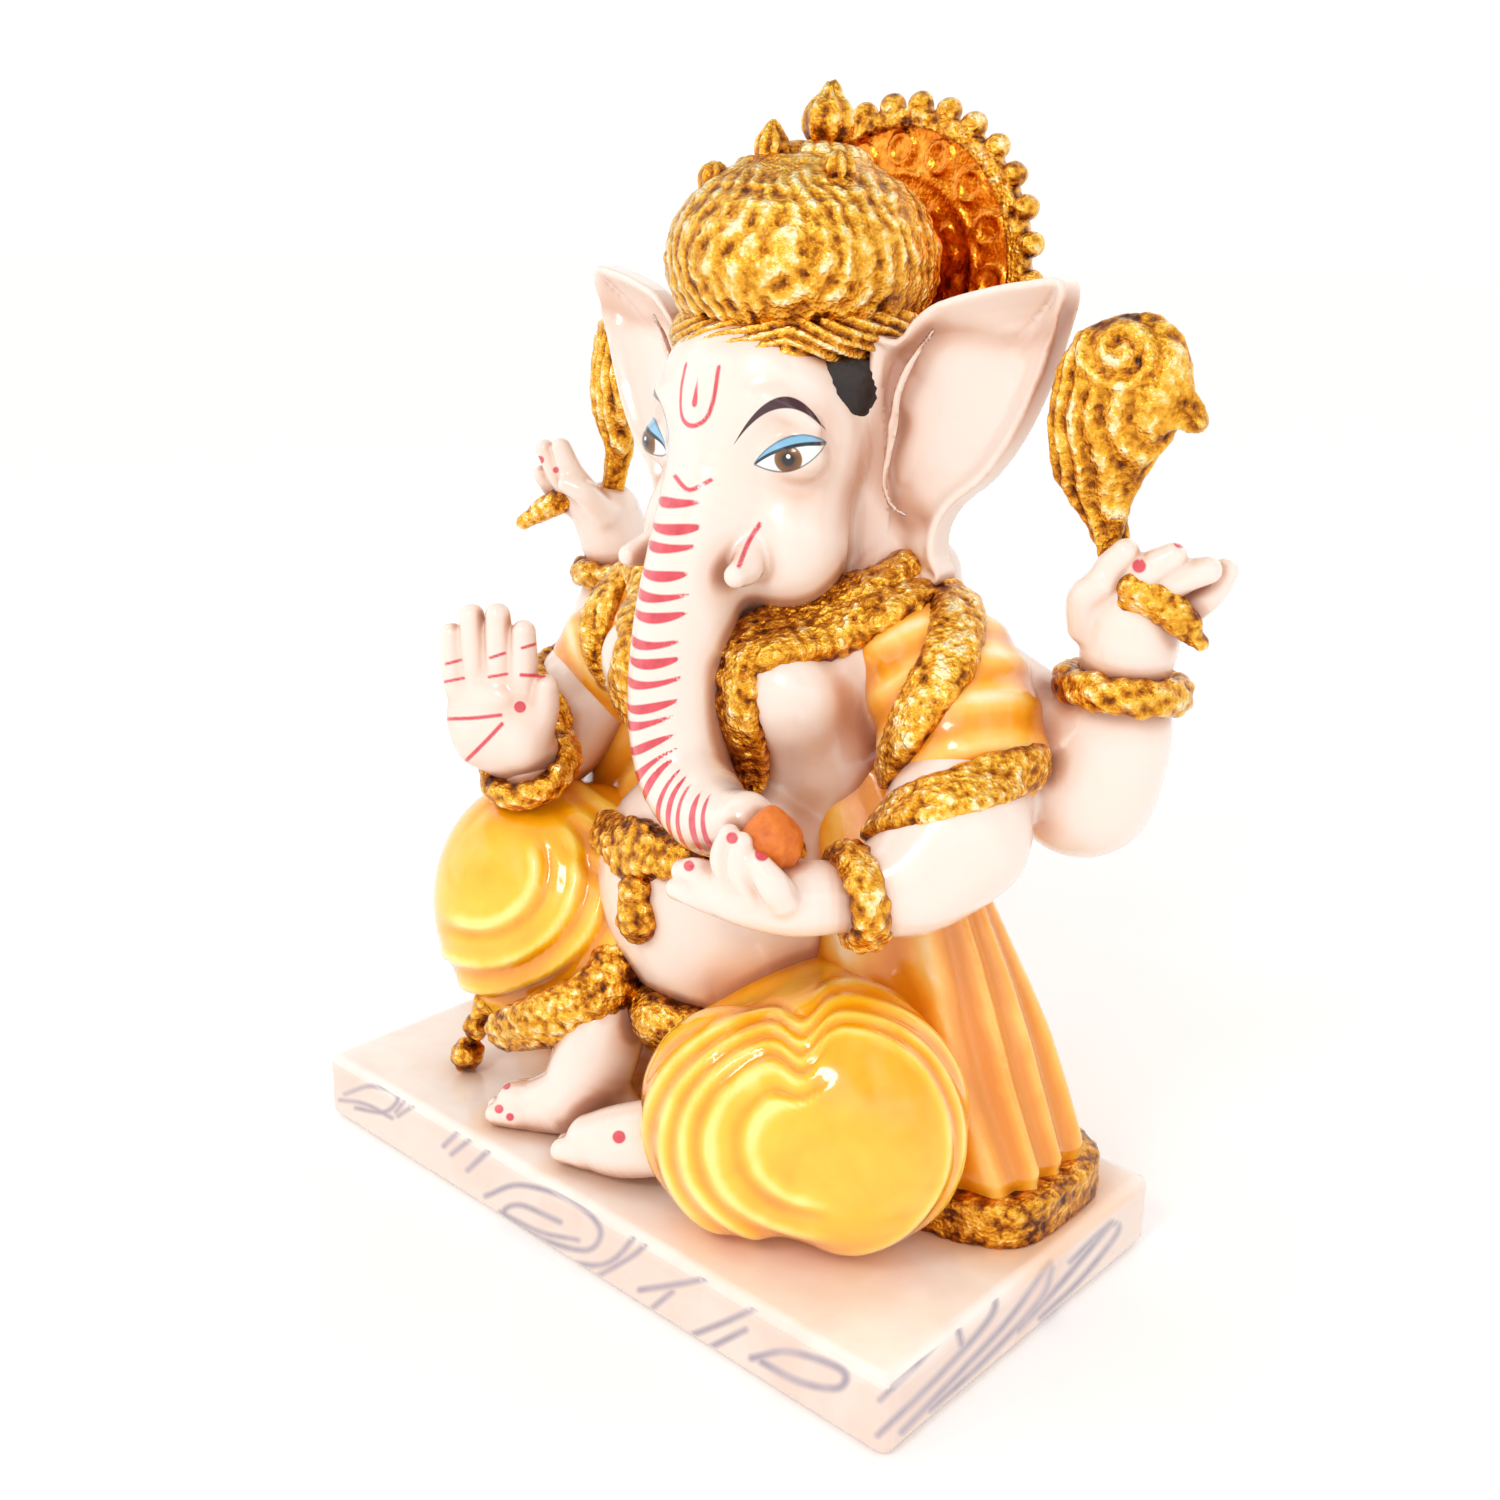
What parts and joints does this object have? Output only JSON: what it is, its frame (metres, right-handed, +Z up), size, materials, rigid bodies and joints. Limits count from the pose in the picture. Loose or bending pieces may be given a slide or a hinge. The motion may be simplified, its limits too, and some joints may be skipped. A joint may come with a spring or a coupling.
{
  "type": "ganesha idol",
  "caption": "Seated four-armed elephant-headed figurine with crown, halo, jewellery and draped cloth on a flat marble slab.",
  "frame": {"origin": "centre of the slab's underside", "axes": "+Z up; the figure faces -Y; +X is the figure's own left"},
  "size_m": [0.1601, 0.0914, 0.2075],
  "materials": {
    "marble": "polished with painted veins",
    "skin": "gloss lacquer",
    "yellow_cloth": "gloss lacquer",
    "orange_cloth": "pearl gloss lacquer",
    "gold": "gold leaf over relief",
    "hair": "gloss paint",
    "sweet": "satin paint"
  },
  "bodies": {
    "root": {"base_slab": "marble", "torso": "skin", "head": "skin", "trunk": "skin", "tusk_left": "skin", "tusk_right": "skin", "hair_band": "hair", "ear_left": "skin", "ear_right": "skin", "crown_band": "gold", "crown_dome": "gold", "crown_tier": "gold", "crown_top_finial": "gold", "crown_front_finial": "gold", "crown_side_finial_left": "gold", "crown_side_finial_right": "gold", "halo_field": "gold", "halo_rim": "gold", "hand_left_front": "skin", "modak": "sweet", "forearm_left_front": "skin", "bracelet_left_front": "gold", "upper_arm_left_front": "skin", "hand_right_front": "skin", "forearm_right_front": "skin", "bracelet_right_front": "gold", "upper_arm_right_front": "skin", "hand_left_back": "skin", "attribute_left": "gold", "attribute_left_handle": "gold", "forearm_left_back": "skin", "bracelet_left_back": "gold", "upper_arm_left_back": "skin", "hand_right_back": "skin", "attribute_right": "gold", "attribute_right_handle": "gold", "forearm_right_back": "skin", "bracelet_right_back": "gold", "upper_arm_right_back": "skin", "foot_right": "skin", "foot_left": "skin", "leg_right": "yellow_cloth", "leg_left": "yellow_cloth", "seat_dhoti": "yellow_cloth", "ankle_hem_right": "gold", "tassel": "gold", "collar": "gold", "necklace_drop_left": "gold", "necklace_drop_right": "gold", "waist_chain": "gold", "waist_pendant": "gold", "belt_buckle": "gold", "shawl_left": "orange_cloth", "shawl_left_lapel": "gold", "shawl_left_border": "gold", "shawl_right": "orange_cloth", "shawl_right_lapel": "gold", "shawl_right_border": "gold", "cloak": "orange_cloth", "cloak_hem": "gold"}
  },
  "joints": []
}
